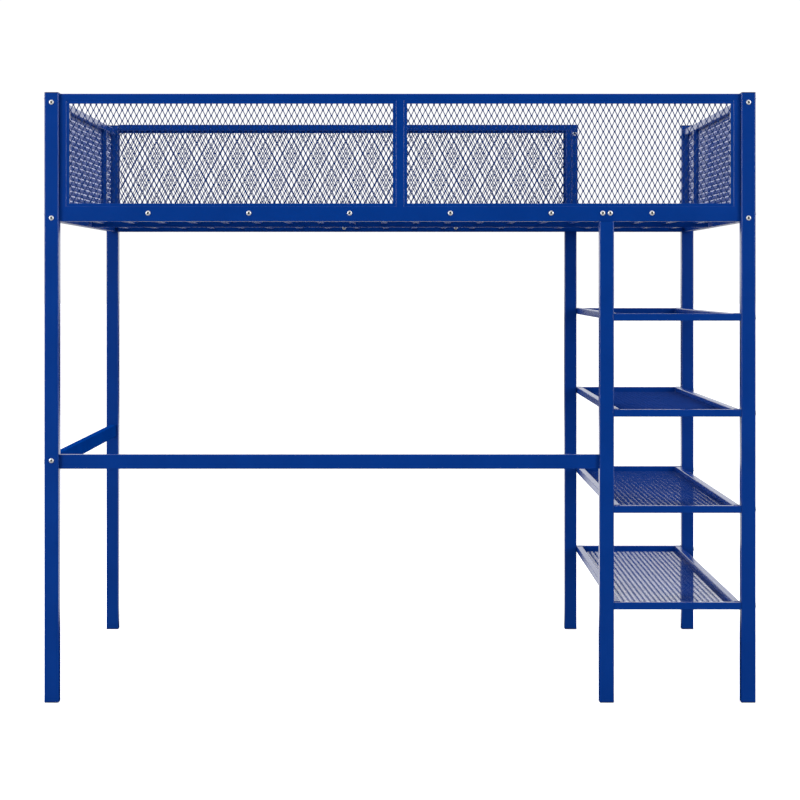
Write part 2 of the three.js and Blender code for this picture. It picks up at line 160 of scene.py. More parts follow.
def new_material(name):
    material = bpy.data.materials.new(name)
    material.use_nodes = True
    material.node_tree.nodes.clear()
    return material


def add_node(material, kind, **values):
    node = material.node_tree.nodes.new(kind)
    for key, value in values.items():
        if key in node.inputs:
            node.inputs[key].default_value = value
        else:
            setattr(node, key, value)
    return node


def link(material, source, target):
    material.node_tree.links.new(source, target)


def noise(material, coordinates, scale, detail=2.0):
    node = add_node(material, "ShaderNodeTexNoise", Scale=scale, Detail=detail)
    link(material, coordinates, node.inputs["Vector"])
    return node.outputs["Fac"]


def ramp(material, factor, low, high, start=0.3, end=0.7):
    node = add_node(material, "ShaderNodeValToRGB")
    node.color_ramp.elements[0].position = start
    node.color_ramp.elements[0].color = low
    node.color_ramp.elements[1].position = end
    node.color_ramp.elements[1].color = high
    link(material, factor, node.inputs["Fac"])
    return node.outputs["Color"]


def span(material, factor, low, high):
    node = add_node(material, "ShaderNodeMapRange")
    node.inputs["To Min"].default_value = low
    node.inputs["To Max"].default_value = high
    link(material, factor, node.inputs["Value"])
    return node.outputs["Result"]


def fade(material, value, start, end):
    node = add_node(material, "ShaderNodeMapRange", interpolation_type="SMOOTHSTEP")
    node.inputs["From Min"].default_value = start
    node.inputs["From Max"].default_value = end
    link(material, value, node.inputs["Value"])
    return node.outputs["Result"]


def mix_shaders(material, factor, first, second):
    node = add_node(material, "ShaderNodeMixShader")
    link(material, factor, node.inputs["Fac"])
    link(material, first, node.inputs[1])
    link(material, second, node.inputs[2])
    return node.outputs["Shader"]


def bump(material, height, distance, strength):
    node = add_node(material, "ShaderNodeBump", Strength=strength, Distance=distance)
    link(material, height, node.inputs["Height"])
    return node.outputs["Normal"]


def finish_material(material, shader):
    output = add_node(material, "ShaderNodeOutputMaterial")
    link(material, shader.outputs["BSDF"], output.inputs["Surface"])
    return material


def powder_coat(name, low, high, roughness, peel, specular=0.5):
    """Powder coat: faint cloudiness in the colour and the slight ripple of orange peel."""
    material = new_material(name)
    place = add_node(material, "ShaderNodeTexCoord").outputs["Object"]
    shader = add_node(material, "ShaderNodeBsdfPrincipled", IOR=COAT_IOR)
    shader.inputs["Specular IOR Level"].default_value = specular
    clouds = noise(material, place, COAT_CLOUDS, COAT_CLOUD_DETAIL)
    link(material, ramp(material, clouds, low, high), shader.inputs["Base Color"])
    grain = noise(material, place, COAT_GRAIN)
    link(material, span(material, grain, *roughness), shader.inputs["Roughness"])
    ripple = noise(material, place, COAT_RIPPLE)
    link(material, bump(material, ripple, COAT_RIPPLE_DEPTH, peel), shader.inputs["Normal"])
    return finish_material(material, shader)


def with_socket_shade(material, colour):
    """The colour, but darkened with painted shade in the socket at the middle of a single bolt's
    box, where the recess lies in shadow.
    """
    box = add_node(material, "ShaderNodeTexCoord").outputs["Generated"]
    flat = add_node(material, "ShaderNodeVectorMath", operation="MULTIPLY_ADD")
    link(material, box, flat.inputs[0])
    flat.inputs[1].default_value = (1, 0, 1)
    flat.inputs[2].default_value = (-0.5, 0, -0.5)
    radius = add_node(material, "ShaderNodeVectorMath", operation="LENGTH")
    link(material, flat.outputs["Vector"], radius.inputs[0])
    mix = add_node(material, "ShaderNodeMix", data_type="RGBA")
    outside = fade(material, radius.outputs["Value"], *SOCKET_SHADE_FADE)
    link(material, outside, mix.inputs[MIX_FACTOR])
    mix.inputs[MIX_FIRST].default_value = SOCKET_SHADE_COLOUR
    link(material, colour, mix.inputs[MIX_SECOND])
    return mix.outputs[MIX_RESULT]


def zinc_plate():
    """Bright zinc with faint turning marks, a patchy lustre and painted shade in the socket."""
    material = new_material("zinc_plate")
    place = add_node(material, "ShaderNodeTexCoord").outputs["Object"]
    shader = add_node(material, "ShaderNodeBsdfPrincipled", Metallic=ZINC_METALLIC)
    patches = noise(material, place, ZINC_PATCHES, ZINC_PATCH_DETAIL)
    colour = ramp(material, patches, *ZINC_COLOURS)
    link(material, with_socket_shade(material, colour), shader.inputs["Base Color"])
    link(material, span(material, patches, *ZINC_ROUGHNESS), shader.inputs["Roughness"])
    scratches = noise(material, place, ZINC_SCRATCHES)
    link(material, bump(material, scratches, *ZINC_BUMP), shader.inputs["Normal"])
    return finish_material(material, shader)


def moulded_plastic():
    """Satin polyethylene with a fine spark-eroded grain."""
    material = new_material("moulded_plastic")
    place = add_node(material, "ShaderNodeTexCoord").outputs["Object"]
    shader = add_node(material, "ShaderNodeBsdfPrincipled", IOR=COAT_IOR)
    clouds = noise(material, place, PLASTIC_CLOUDS)
    link(material, ramp(material, clouds, *PLASTIC_COLOURS), shader.inputs["Base Color"])
    grain = noise(material, place, PLASTIC_GRAIN, PLASTIC_GRAIN_DETAIL)
    link(material, span(material, grain, *PLASTIC_ROUGHNESS), shader.inputs["Roughness"])
    link(material, bump(material, grain, *PLASTIC_BUMP), shader.inputs["Normal"])
    return finish_material(material, shader)


def floor_paint():
    """White to the eye and a grey card for the light that it throws back. In gloss it is white
    only behind the bed, where a backdrop's sweep would be, and black elsewhere."""
    material = new_material("studio_floor")
    place = add_node(material, "ShaderNodeTexCoord").outputs["Object"]
    clouds = noise(material, place, FLOOR_CLOUDS)
    white = add_node(material, "ShaderNodeBsdfPrincipled")
    white.inputs["Specular IOR Level"].default_value = FLOOR_SPECULAR
    white.inputs["Emission Color"].default_value = WHITE
    white.inputs["Emission Strength"].default_value = FLOOR_GLOW
    link(material, ramp(material, clouds, *FLOOR_COLOURS), white.inputs["Base Color"])
    link(material, span(material, clouds, *FLOOR_ROUGHNESS), white.inputs["Roughness"])
    grey = add_node(material, "ShaderNodeBsdfDiffuse")
    grey.inputs["Color"].default_value = (*[FLOOR_BOUNCE] * 3, 1)
    split = add_node(material, "ShaderNodeSeparateXYZ")
    link(material, place, split.inputs["Vector"])
    near = fade(material, split.outputs["Y"], *MIRROR_NEAR)
    far = fade(material, split.outputs["Y"], *MIRROR_FAR)
    band = add_node(material, "ShaderNodeMath", operation="SUBTRACT")
    link(material, near, band.inputs[0])
    link(material, far, band.inputs[1])
    mirrored = add_node(material, "ShaderNodeEmission")
    link(material, band.outputs["Value"], mirrored.inputs["Strength"])
    path = add_node(material, "ShaderNodeLightPath").outputs
    white, grey = white.outputs["BSDF"], grey.outputs["BSDF"]
    thrown = mix_shaders(material, path["Is Diffuse Ray"], white, grey)
    seen = mix_shaders(material, path["Is Glossy Ray"], thrown, mirrored.outputs["Emission"])
    output = add_node(material, "ShaderNodeOutputMaterial")
    link(material, seen, output.inputs["Surface"])
    return material


FRAME_BLUE = ((0.0003, 0.0365, 0.25, 1), (0.0006, 0.0415, 0.278, 1))
# Painted shade: the guard mesh is the frame's blue made darker and greyer, standing for the
# shaded sides of its strands.
MESH_SHADED_BLUE = ((0.002, 0.026, 0.14, 1), (0.003, 0.03, 0.165, 1))
TUBE_PAINT = powder_coat(
    "blue_powder_coat", *FRAME_BLUE, roughness=(0.16, 0.26), peel=0.25)
SATIN_PAINT = powder_coat(
    "blue_satin_coat", *FRAME_BLUE, roughness=(0.42, 0.55), peel=0.3, specular=0.0)
SHADED_MESH_PAINT = powder_coat(
    "blue_mesh_coat_painted_shade", *MESH_SHADED_BLUE, roughness=(0.2, 0.32), peel=0.2)
END_MESH_PAINT = powder_coat(
    "blue_end_mesh_coat", *FRAME_BLUE, roughness=(0.08, 0.15), peel=0.04, specular=1.0)
SHELF_PAINT = powder_coat(
    "blue_shelf_mesh_coat", *FRAME_BLUE, roughness=(0.3, 0.42), peel=0.2, specular=0.1)
GLOSS_PAINT = powder_coat(
    "blue_gloss_coat", *FRAME_BLUE, roughness=(0.1, 0.15), peel=0.1)
ZINC = zinc_plate()
PLASTIC = moulded_plastic()

FINISHES = {
    "painted_tube": TUBE_PAINT,
    "painted_mesh": SHADED_MESH_PAINT,
    "plug_plastic": PLASTIC,
    "zinc_hardware": ZINC,
}


# ---- Making pieces ----
# Shapes are built in millimetres and become metres in add_piece.

class Shape:
    """Closed shells gathered for one piece; smooth says which faces are part of a round."""

    def __init__(self):
        self.points = []
        self.faces = []
        self.smooth = []

    def loft(self, rings, smooth, closed=False):
        """Join rings of equal count. The ends are capped unless the shell closes on itself."""
        base, count = len(self.points), len(rings[0])
        bands = len(rings) if closed else len(rings) - 1
        for band in range(bands):
            here = base + band * count
            there = base + (band + 1) % len(rings) * count
            for i in range(count):
                j = (i + 1) % count
                self.faces.append((here + i, here + j, there + j, there + i))
                self.smooth.append(smooth[band])
        if not closed:
            last = base + (len(rings) - 1) * count
            self.faces.append(tuple(base + i for i in reversed(range(count))))
            self.faces.append(tuple(last + i for i in range(count)))
            self.smooth += [False, False]
        for ring in rings:
            self.points += ring


def round_normals(mesh):
    """Rounds shade smoothly into the flats beside them, and the flats stay flat."""
    faces, loops = len(mesh.polygons), len(mesh.loops)
    normals, areas = np.empty(faces * 3), np.empty(faces)
    totals, smooth = np.empty(faces, dtype=int), np.empty(faces, dtype=bool)
    corners = np.empty(loops, dtype=int)
    mesh.polygons.foreach_get("normal", normals)
    mesh.polygons.foreach_get("area", areas)
    mesh.polygons.foreach_get("loop_total", totals)
    mesh.polygons.foreach_get("use_smooth", smooth)
    mesh.loops.foreach_get("vertex_index", corners)
    face_of = np.repeat(np.arange(faces), totals)
    loop_normals = normals.reshape(-1, 3)[face_of]
    on_round = smooth[face_of]
    sums = np.zeros((len(mesh.vertices), 3))
    np.add.at(sums, corners[on_round], (loop_normals * areas[face_of][:, None])[on_round])
    loop_normals[on_round] = sums[corners[on_round]]
    loop_normals /= np.linalg.norm(loop_normals, axis=1)[:, None]
    mesh.normals_split_custom_set(loop_normals.tolist())


def add_piece(name, shape, slot, place=Matrix(), material=None, replaces=()):
    mesh = bpy.data.meshes.new(name)
    mesh.from_pydata([place @ Vector(point) * MM for point in shape.points], [], shape.faces)
    mesh.polygons.foreach_set("use_smooth", shape.smooth)
    cleaner = bmesh.new()
    cleaner.from_mesh(mesh)
    bmesh.ops.recalc_face_normals(cleaner, faces=cleaner.faces)
    cleaner.to_mesh(mesh)
    cleaner.free()
    mesh.materials.append(material or FINISHES[slot])
    if any(shape.smooth):
        round_normals(mesh)
    piece = bpy.data.objects.new(name, mesh)
    SCENE.collection.objects.link(piece)
    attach(piece, "root")
    if replaces:
        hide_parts(*replaces)
    return piece


def moved(x, y, z, turn=0.0):
    return Matrix.Translation((x, y, z)) @ Matrix.Rotation(turn, 4, "Z")


# ---- Tubes, strips and weld beads ----

ACROSS = {0: (1, 2), 1: (2, 0), 2: (0, 1)}


def outline(half_u, half_v, radius):
    """A rectangle with round corners, as (u, v) points."""
    points = []
    for corner, (side_u, side_v) in enumerate(((1, 1), (-1, 1), (-1, -1), (1, -1))):
        for step in range(CORNER_STEPS + 1):
            angle = (corner + step / CORNER_STEPS) * math.pi / 2
            points.append((
                side_u * (half_u - radius) + radius * math.cos(angle),
                side_v * (half_v - radius) + radius * math.sin(angle),
            ))
    return points


def section(axis, low, high, along, inset, radius):
    """The outline of a bar's section, drawn in by inset, where the bar passes along."""
    u, v = ACROSS[axis]
    middle_u, middle_v = (low[u] + high[u]) / 2, (low[v] + high[v]) / 2
    ring = []
    half_u, half_v = (high[u] - low[u]) / 2 - inset, (high[v] - low[v]) / 2 - inset
    for du, dv in outline(half_u, half_v, radius):
        point = [along, along, along]
        point[u] = middle_u + du
        point[v] = middle_v + dv
        ring.append(tuple(point))
    return ring


def bar(shape, axis, low, high, radius):
    """A solid bar, or a tube whose ends are plated."""
    rings = [section(axis, low, high, end[axis], 0, radius) for end in (low, high)]
    shape.loft(rings, [True])


def tube(shape, axis, low, high, radius=TUBE_RADIUS):
    """A tube with its bore open at both ends."""
    inner = max(radius - WALL, LEAST_BORE_RADIUS)
    outside = [section(axis, low, high, end[axis], 0, radius) for end in (low, high)]
    inside = [section(axis, low, high, end[axis], WALL, inner) for end in (high, low)]
    shape.loft(outside + inside, [True, False, True, False], closed=True)


def bead(shape, start, end, radius=BEAD_RADIUS):
    """A rippled weld bead along a straight seam, thin where it starts and stops."""
    start, end = Vector(start), Vector(end)
    length = (end - start).length
    along = (end - start).normalized()
    side = along.orthogonal().normalized()
    up = along.cross(side)
    steps = max(4, round(length / BEAD_STEP))
    rings = []
    for step in range(steps + 1):
        run = length * step / steps
        taper = min(1.0, BEAD_END + min(run, length - run) / (2 * radius))
        swell = radius * taper * (1 + BEAD_RIPPLE * math.cos(math.tau * run / BEAD_PITCH))
        middle = start + along * run
        ring = []
        for i in range(BEAD_SIDES):
            angle = math.tau * i / BEAD_SIDES
            point = middle + side * (swell * math.cos(angle)) + up * (swell * math.sin(angle))
            ring.append(tuple(point))
        rings.append(ring)
    shape.loft(rings, [True] * steps)


# ---- Framed panels ----
# A panel stands in its own XZ plane with its outer face at y = 0, as in the CAD model.

def rail(shape, x0, x1, z0, z1):
    tube(shape, 0, (x0, 0, z0), (x1, TUBE, z1))


def stile(shape, x0, x1, z0, z1):
    """An upright between two rails: ground flush on the outer face, with beads elsewhere."""
    tube(shape, 2, (x0, 0, z0 - TUBE_RADIUS), (x1, TUBE, z1 + TUBE_RADIUS))
    for z in (z0, z1):
        for x in (x0, x1):
            bead(shape, (x, LIP_RECESS + LIP_THICK, z), (x, TUBE - BEAD_INSET, z))
        bead(shape, (x0 + BEAD_INSET, TUBE, z), (x1 - BEAD_INSET, TUBE, z))


def lip(shape, bay, far_lip=LIP):
    """The narrow strip round a bay that the mesh sheet lies against."""
    x0, x1, z0, z1 = bay
    front, back = LIP_RECESS, LIP_RECESS + LIP_THICK
    edge = WALL / 2
    for z_low, z_high in ((z0 - edge, z0 + LIP), (z1 - LIP, z1 + edge)):
        bar(shape, 0, (x0 - edge, front, z_low), (x1 + edge, back, z_high), LIP_RADIUS)
    for x_low, x_high in ((x0 - edge, x0 + LIP), (x1 - far_lip, x1 + edge)):
        if x_high - x_low > edge:
            bar(shape, 2, (x_low, front, z0 + LIP), (x_high, back, z1 - LIP), LIP_RADIUS)


def bays_between(uprights, z0, z1):
    return [(a[1], b[0], z0, z1) for a, b in zip(uprights, uprights[1:])]


def front_guard():
    shape = Shape()
    top = GUARD_TOP - RAIL_BOTTOM
    uprights = [
        (-INNER_X, -INNER_X + TUBE),
        (-CENTRE_STILE / 2, CENTRE_STILE / 2),
        (INNER_X - TUBE, INNER_X),
    ]
    rail(shape, -INNER_X, INNER_X, 0, SIDE_RAIL)
    rail(shape, -INNER_X, INNER_X, top - TUBE, top)
    for x0, x1 in uprights:
        stile(shape, x0, x1, SIDE_RAIL, top - TUBE)
    for bay in bays_between(uprights, SIDE_RAIL, top - TUBE):
        lip(shape, bay)
    return shape


def rear_guard():
    shape = Shape()
    top = REAR_GUARD_TOP - RAIL_BOTTOM
    strut = (-REAR_GUARD_END, -REAR_GUARD_END + TUBE)
    uprights = [(strut[1], strut[1] + TUBE), (-CENTRE_STILE / 2, CENTRE_STILE / 2)]
    end = INNER_X - PLATE
    rail(shape, -INNER_X, end, 0, SIDE_RAIL)
    rail(shape, strut[0], end, top - TUBE, top)
    bar(shape, 2, (end, 0, 0), (INNER_X, TUBE, top), END_PLATE_RADIUS)
    for x0, x1 in [strut] + uprights:
        stile(shape, x0, x1, SIDE_RAIL, top - TUBE)
    bays = bays_between(uprights + [(end, INNER_X)], SIDE_RAIL, top - TUBE)
    lip(shape, bays[0])
    lip(shape, bays[1], far_lip=0)
    return shape


def end_guard():
    shape = Shape()
    top = END_GUARD_TOP - RAIL_BOTTOM
    uprights = [(x, x + TUBE) for x in (-END_STILE_OUTER, END_STILE_OUTER - TUBE)]
    for z0, z1 in ((0, TUBE), (top - TUBE, top)):
        bar(shape, 0, (-INNER_Y, 0, z0), (INNER_Y, TUBE, z1), TUBE_RADIUS)
    for x0, x1 in uprights:
        stile(shape, x0, x1, TUBE, top - TUBE)
    edges = [(-INNER_Y, -INNER_Y + WALL)] + uprights + [(INNER_Y - WALL, INNER_Y)]
    for bay in bays_between(edges, TUBE, top - TUBE):
        lip(shape, bay)
    return shape


def shelf_frame():
    shape = Shape()
    half_x = (INNER_X - SHELF_POST_INNER) / 2
    half_y = WIDTH / 2 - SHELF_SETBACK
    uprights = [(-half_x, TUBE - half_x), (half_x - TUBE, half_x)]
    rail(shape, -half_x, half_x, -half_y, TUBE - half_y)
    rail(shape, -half_x, half_x, half_y - TUBE, half_y)
    for x0, x1 in uprights:
        stile(shape, x0, x1, TUBE - half_y, half_y - TUBE)
    for bay in bays_between(uprights, TUBE - half_y, half_y - TUBE):
        lip(shape, bay)
    return shape


# ---- Deck, bars, posts, plugs and bolts ----

def slat(shape, x, y0, y1):
    """One length of slat between two long rails, with beads down its sides and under it."""
    low, high = SLAT_LIFT, SLAT_LIFT + SLAT_HEIGHT
    x0, x1 = x - TUBE / 2, x + TUBE / 2
    tube(shape, 1, (x0, y0 - GAP, low), (x1, y1 + GAP, high))
    for y in (y0, y1):
        for side in (x0, x1):
            bead(shape, (side, y, low + BEAD_INSET), (side, y, high - BEAD_INSET))
        bead(shape, (x0 + BEAD_INSET, y, low), (x1 - BEAD_INSET, y, low))


def slat_panel():
    shape = Shape()
    half_centre = CENTRE_RAIL / 2
    inner_face = DECK_FACE_Y - TUBE
    for y0, y1 in (
        (-DECK_FACE_Y, -inner_face), (-half_centre, half_centre), (inner_face, DECK_FACE_Y)
    ):
        tube(shape, 0, (GAP, y0, 0), (INNER_X, y1, DECK_RAIL))
    for n in range(SLATS_PER_PANEL):
        x = (n + 0.5) * SLAT_PITCH
        slat(shape, x, -inner_face, -half_centre)
        slat(shape, x, half_centre, inner_face)
    return shape


def corner_post():
    shape = Shape()
    half = POST / 2
    low, high = FLANGE + GAP, HEIGHT - FLANGE - GAP
    tube(shape, 2, (-half, -half, low), (half, half, high), POST_RADIUS)
    return shape


def shelf_post():
    """Its top is plated, and a tab behind the side rail takes the pair of bolts."""
    shape = Shape()
    half = POST / 2
    top = RAIL_BOTTOM - GAP
    bar(shape, 2, (-half, -half, FLANGE + GAP), (half, half, top), POST_RADIUS)
    tab = POST_Y - TAB_Y
    bar(shape, 1, (-half, tab, top - PLATE / 2), (half, tab + PLATE, TAB_TOP), TAB_RADIUS)
    reach = half - BEAD_INSET
    for y in (tab, tab + PLATE):
        bead(shape, (-reach, y, top), (reach, y, top))
    return shape


def plug(profile):
    """A moulded plug: its flange as (inset, height) pairs, then the spigot in the post."""
    shape = Shape()
    half = POST / 2
    low, high = (-half, -half, 0), (half, half, 0)
    rings = []
    for inset, z in profile:
        rings.append(section(2, low, high, z, inset, max(POST_RADIUS - inset, 0.5)))
    reach = WALL + GAP
    narrowing, length = SPIGOT_CHAMFER
    tip = FLANGE + SPIGOT
    for inset, z in ((reach, FLANGE), (reach, tip - length), (reach + narrowing, tip)):
        rings.append(section(2, low, high, z, inset, POST_RADIUS - reach))
    shape.loft(rings, [True] * (len(rings) - 1))
    return shape


def foot_plug():
    return plug(FOOT_PROFILE)


def top_cap():
    """Upside down: its face, at z = 0, is slightly domed."""
    return plug(CAP_PROFILE)


def lower_bar(half_length):
    """A bar whose ends are plated, with a ground weld round each plate."""
    shape = Shape()
    low, high = (-half_length, 0, 0), (half_length, TUBE, BAR)
    weld = half_length - BAR_WELD
    places = [(-half_length, BAR_WELD_DROP), (-weld, 0), (weld, 0), (half_length, BAR_WELD_DROP)]
    rings = [section(0, low, high, x, inset, TUBE_RADIUS) for x, inset in places]
    shape.loft(rings, [True] * 3)
    return shape


def bolt(shape, length, place=Matrix()):
    """A button-head bolt with a hexagon socket: head towards -y, shank towards +y."""
    def ring(radius_at, y):
        points = []
        for i in range(BOLT_SIDES):
            angle = math.tau * i / BOLT_SIDES
            radius = radius_at(angle)
            point = Vector((radius * math.cos(angle), y, radius * math.sin(angle)))
            points.append(tuple(place @ point))
        return points

    def circle(radius, y):
        return ring(lambda angle: radius, y)

    def hexagon(across, y):
        sixth = math.pi / 3
        return ring(lambda angle: across / 2 / math.cos(angle % sixth - sixth / 2), y)

    face = -GAP - HEAD_HEIGHT
    rim = -GAP - HEAD_RIM
    bottom = face + SOCKET_DEPTH
    rings = [
        hexagon(SOCKET_ACROSS * SOCKET_TIP, bottom + SOCKET_TIP_DEPTH),
        hexagon(SOCKET_ACROSS, bottom),
        hexagon(SOCKET_ACROSS, face + SOCKET_BEVEL_DEPTH),
        hexagon(SOCKET_ACROSS + SOCKET_BEVEL, face),
    ]
    smooth = [False, False, False, False]
    for step in range(DOME_STEPS + 1):
        angle = step / DOME_STEPS * math.pi / 2
        radius = DOME_START + (HEAD_RADIUS - DOME_START) * math.sin(angle)
        rings.append(circle(radius, face + (rim - face) * (1 - math.cos(angle))))
        smooth.append(True)
    rings.append(circle(HEAD_RADIUS - HEAD_BEVEL, -GAP))
    rings += [circle(BOLT_RADIUS, -GAP), circle(BOLT_RADIUS, length)]
    smooth += [False, True]
    shape.loft(rings, smooth)


# ---- Expanded metal ----

def strand(index, middle, low, high, width, tilt):
    """One zigzag strand's middle line, as (short way, through, long way) points.

    It runs straight along the bonds. The strands are tilted, so where two meet in a bond they
    lie edge to edge, one a step further through the sheet than the other."""
    half = DIAMOND_LONG / 2
    swing = DIAMOND_SHORT / 4 - width / 2 * math.cos(tilt)
    step = width / 2 * math.sin(tilt)
    longs, sides = [], []
    for bond in range(math.floor(low / half) - 1, math.ceil(high / half) + 2):
        for edge in (-BOND_HALF, BOND_HALF):
            longs.append(bond * half + edge)
            sides.append(1 if (bond + index) % 2 == 0 else -1)
    kept = [low] + [place for place in longs if low < place < high] + [high]
    weave = np.interp(kept, longs, sides)
    return [(middle + side * swing, side * step, place) for place, side in zip(kept, weave)]


def expanded_sheet(node, long_axis, inward, material, tilt=FLAT_TILT, section_size=GUARD_STRAND):
    """The expanded metal in place of a CAD sheet, whose box it fills."""
    low, high = [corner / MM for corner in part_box(node)]
    size = high - low
    normal = min(range(3), key=lambda axis: size[axis])
    short = 3 - long_axis - normal
    centre = (low[normal] + high[normal]) / 2 + inward * SHEET_SHIFT
    pitch = DIAMOND_SHORT / 2
    count = int((size[short] - DIAMOND_SHORT / 2) / pitch) + 1
    first = (low[short] + high[short] - (count - 1) * pitch) / 2
    cos, sin = math.cos(tilt), math.sin(tilt)
    width, thick = section_size
    half_w, half_t = width / 2, thick / 2
    corners = [
        (u * half_w * cos - v * half_t * sin, u * half_w * sin + v * half_t * cos)
        for u, v in ((-1, -1), (1, -1), (1, 1), (-1, 1))
    ]
    shape = Shape()
    start, end = low[long_axis], high[long_axis]
    for index in range(count):
        rings = []
        line = strand(index, first + index * pitch, start, end, width, tilt)
        for across, through, along in line:
            ring = []
            for du, dv in corners:
                point = [0.0, 0.0, 0.0]
                point[short] = across + du
                point[long_axis] = along
                point[normal] = centre + through + dv
                ring.append(tuple(point))
            rings.append(ring)
        shape.loft(rings, [False] * (len(rings) - 1))
    add_piece("expanded_" + node, shape, "painted_mesh", material=material, replaces=[node])


# ---- Assembly ----

def paint(node, shape, place, material=None):
    add_piece("painted_" + node, shape, "painted_tube", place, material, replaces=[node])


def mould(node, shape, place):
    add_piece("moulded_" + node, shape, "plug_plastic", place, replaces=[node])


def add_posts():
    for side, y in (("front", -POST_Y), ("rear", POST_Y)):
        for end, x in (("left", -POST_X), ("right", POST_X)):
            where = f"{side}_{end}"
            paint("post_" + where, corner_post(), moved(x, y, 0))
            mould("foot_plug_" + where, foot_plug(), moved(x, y, 0))
            upside_down = Matrix.Translation((x, y, HEIGHT)) @ Matrix.Rotation(math.pi, 4, "X")
            mould("top_cap_" + where, top_cap(), upside_down)
        turn = 0 if side == "front" else math.pi
        paint("shelf_post_" + side, shelf_post(), moved(SHELF_POST_X, y, 0, turn))
        mould(f"foot_plug_{side}_shelf", foot_plug(), moved(SHELF_POST_X, y, 0))


def add_guards():
    paint("front_guard_frame", front_guard(), moved(0, -GUARD_FACE_Y, RAIL_BOTTOM))
    paint("rear_guard_frame", rear_guard(), moved(0, GUARD_FACE_Y, RAIL_BOTTOM, math.pi))
    for end, side in (("left", -1), ("right", 1)):
        place = moved(side * GUARD_FACE_X, 0, RAIL_BOTTOM, side * math.pi / 2)
        paint(f"{end}_guard_frame", end_guard(), place)


def add_deck():
    paint("slat_panel_right", slat_panel(), moved(0, 0, RAIL_BOTTOM), GLOSS_PAINT)
    paint("slat_panel_left", slat_panel(), moved(0, 0, RAIL_BOTTOM, math.pi), GLOSS_PAINT)


def add_lower_bars():
    face = SHELF_POST_X - POST / 2 - GAP
    place = moved((face - INNER_X) / 2, -GUARD_FACE_Y, BAR_BOTTOM)
    paint("front_lower_bar", lower_bar((face + INNER_X) / 2), place)
    place = moved(-GUARD_FACE_X, 0, BAR_BOTTOM, -math.pi / 2)
    paint("left_lower_bar", lower_bar(INNER_Y), place, SATIN_PAINT)


def add_shelves():
    middle = (INNER_X + SHELF_POST_INNER) / 2
    for number, top in enumerate(SHELF_TOPS, start=1):
        place = Matrix.Translation((middle, 0, top - TUBE)) @ Matrix.Rotation(math.pi / 2, 4, "X")
        paint(f"shelf_frame_{number}", shelf_frame(), place)


def add_sheets():
    for node in sorted(NODES):
        low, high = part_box(node)
        middle = (low + high) / 2
        if node.startswith("shelf_mesh"):
            expanded_sheet(node, 0, 1, SHELF_PAINT, SHELF_TILT, SHELF_STRAND)
        elif node.startswith(("front_mesh", "rear_mesh")):
            expanded_sheet(node, 2, -math.copysign(1, middle.y), SHADED_MESH_PAINT)
        elif "_mesh_" in node:
            inward = -math.copysign(1, middle.x)
            expanded_sheet(node, 2, inward, END_MESH_PAINT, inward * END_TILT)


def add_bolt(node, length, x, y, z, turn=0.0):
    shape = Shape()
    bolt(shape, length)
    add_piece("zinc_" + node, shape, "zinc_hardware", moved(x, y, z, turn), replaces=[node])


def add_bolts():
    face = -WIDTH / 2
    for end, side in (("left", -1), ("right", 1)):
        add_bolt(f"post_bolt_{end}_top", POST_BOLT, side * POST_X, face, POST_BOLT_TOP)
        add_bolt(f"post_bolt_{end}_low", POST_BOLT, side * POST_X, face, POST_BOLT_LOW)
        node = f"post_bolt_{end}_rear"
        add_bolt(node, POST_BOLT, side * POST_X, -face, POST_BOLT_TOP, math.pi)
        node = f"deck_bolt_{end}"
        add_bolt(node, RAIL_BOLT, side * DECK_BOLT_X, DECK_FACE_Y - TUBE, DECK_BOLT_Z)
        for number, distance in enumerate(RAIL_BOLT_XS, start=1):
            node = f"rail_bolt_{end}_{number}"
            add_bolt(node, RAIL_BOLT, side * distance, -GUARD_FACE_Y, RAIL_BOLT_Z)
    add_bolt("lower_bar_bolt", POST_BOLT, -POST_X, face, BAR_BOLT)
    for number, offset in ((1, -PAIR_SPACING / 2), (2, PAIR_SPACING / 2)):
        node = f"shelf_post_bolt_{number}"
        add_bolt(node, RAIL_BOLT, SHELF_POST_X + offset, -GUARD_FACE_Y, RAIL_BOLT_Z)
    inner_face = GUARD_FACE_Y - TUBE
    add_bolt("rear_guard_bolt", GUARD_BOLT, GUARD_END_BOLT_X, inner_face, POST_BOLT_TOP)


def add_hidden_side_bolts():
    """Bolts on the outer faces that the CAD model leaves out: both ends and the rear."""
    for end, side in (("left", -1), ("right", 1)):
        shape = Shape()
        spots = []
        for y in (-GUARD_FACE_Y + TUBE / 2, GUARD_FACE_Y - TUBE / 2):
            spots += [(y, RAIL_BOLT_Z), (y, GUARD_TOP - TUBE / 2)]
        if side > 0:
            spots += [(y, top - TUBE / 2) for y in (-POST_Y, POST_Y) for top in SHELF_TOPS]
        else:
            spots.append((-GUARD_FACE_Y + TUBE / 2, BAR_BOTTOM + BAR / 2))
        for y, z in spots:
            bolt(shape, STUB_BOLT, moved(side * LENGTH / 2, y, z, side * math.pi / 2))
        add_piece(f"zinc_end_bolts_{end}", shape, "zinc_hardware")
    shape = Shape()
    face = WIDTH / 2
    for x, z in ((-POST_X, POST_BOLT_LOW), (POST_X, POST_BOLT_LOW), (-POST_X, BAR_BOLT)):
        bolt(shape, STUB_BOLT, moved(x, face, z, math.pi))
    for x in (SHELF_POST_X - PAIR_SPACING / 2, SHELF_POST_X + PAIR_SPACING / 2):
        bolt(shape, STUB_BOLT, moved(x, GUARD_FACE_Y, RAIL_BOLT_Z, math.pi))
    add_piece("zinc_rear_bolts", shape, "zinc_hardware")


# ---- Studio ----

def add_floor():
    mesh = bpy.data.meshes.new("studio_floor")
    half = FLOOR_SIZE / 2
    corners = [(-half, -half, 0), (half, -half, 0), (half, half, 0), (-half, half, 0)]
    mesh.from_pydata(corners, [], [(0, 1, 2, 3)])
    mesh.materials.append(floor_paint())
    floor = bpy.data.objects.new("studio_floor", mesh)
    SCENE.collection.objects.link(floor)


